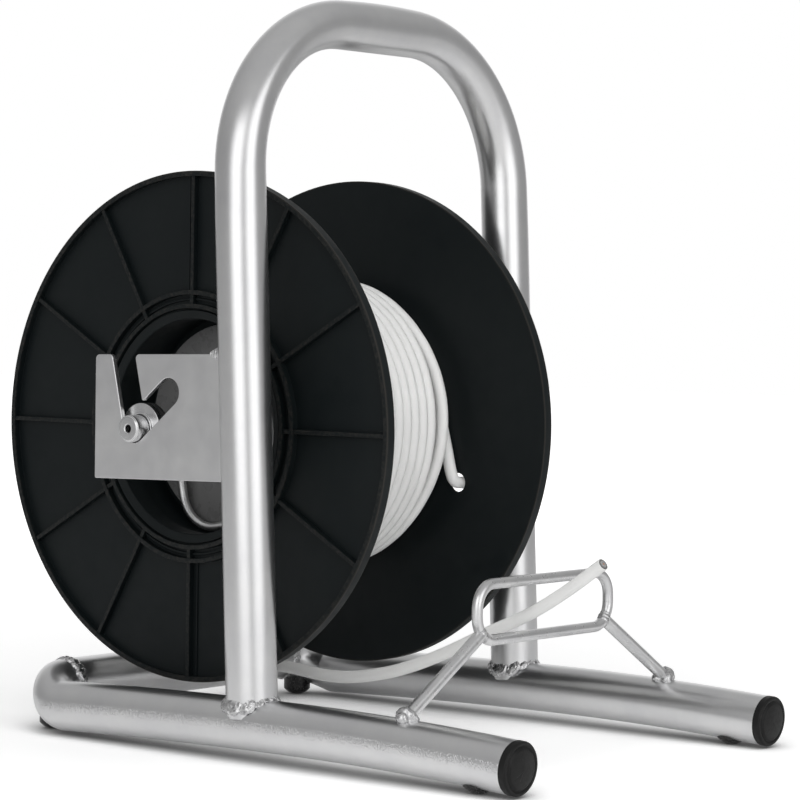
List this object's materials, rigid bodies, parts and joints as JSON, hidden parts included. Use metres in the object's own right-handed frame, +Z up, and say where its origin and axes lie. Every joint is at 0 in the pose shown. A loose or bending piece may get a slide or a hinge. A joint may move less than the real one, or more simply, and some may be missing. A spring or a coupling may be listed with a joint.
{
  "type": "cable drum dispenser stand",
  "caption": "Free-standing frame of bent steel tube with a carrying bow, slotted axle brackets and a wire cable guide, holding a ribbed plastic drum of cable on a removable axle.",
  "frame": {"origin": "on the floor, under the middle of the stand", "axes": "+X along the axle to the right-hand bracket, the cable leaves towards -Y, +Z up"},
  "size_m": [0.2672, 0.414, 0.4147],
  "materials": {
    "zinc_steel": "bright zinc plate, satin",
    "bracket_steel": "rolled sheet, satin",
    "disc_steel": "dark polished sheet",
    "bright_wire": "bright drawn wire",
    "black_plastic": "moulded, fine grain",
    "cap_plastic": "moulded, satin",
    "foot_rubber": "moulded rubber",
    "cable_sheath": "smooth extruded sheath"
  },
  "bodies": {
    "frame": {"left_base_tube": "zinc_steel", "right_base_tube": "zinc_steel", "rear_cross_tube": "zinc_steel", "bow_tube": "zinc_steel", "left_axle_bracket": "bracket_steel", "right_axle_bracket": "bracket_steel", "guide_ring": "zinc_steel", "left_guide_leg": "zinc_steel", "right_guide_leg": "zinc_steel", "left_end_cap": "cap_plastic", "right_end_cap": "cap_plastic", "front_left_foot": "foot_rubber", "front_right_foot": "foot_rubber", "rear_left_foot": "foot_rubber", "rear_right_foot": "foot_rubber", "cable_lead": "cable_sheath"},
    "axle": {"axle_shaft": "zinc_steel", "left_axle_collar": "zinc_steel", "right_axle_collar": "zinc_steel"},
    "drum": {"left_flange": "black_plastic", "right_flange": "black_plastic", "drum_core": "black_plastic", "left_clamp_disc": "disc_steel", "right_clamp_disc": "disc_steel", "left_hub_bush": "zinc_steel", "right_hub_bush": "zinc_steel", "left_wire_bail": "bright_wire", "right_wire_bail": "bright_wire", "cable_winding": "cable_sheath", "cable_tail": "cable_sheath"}
  },
  "joints": [
    {"name": "axle_slide", "type": "slide", "parent": "frame", "child": "axle", "axis": [0, -0.7771, 0.6293], "range_m": [0, 0.033]},
    {"name": "drum_spin", "type": "hinge", "parent": "axle", "child": "drum", "pos_m": [0, 0.06275, 0.1744], "axis": [1, 0, 0], "continuous": true}
  ]
}
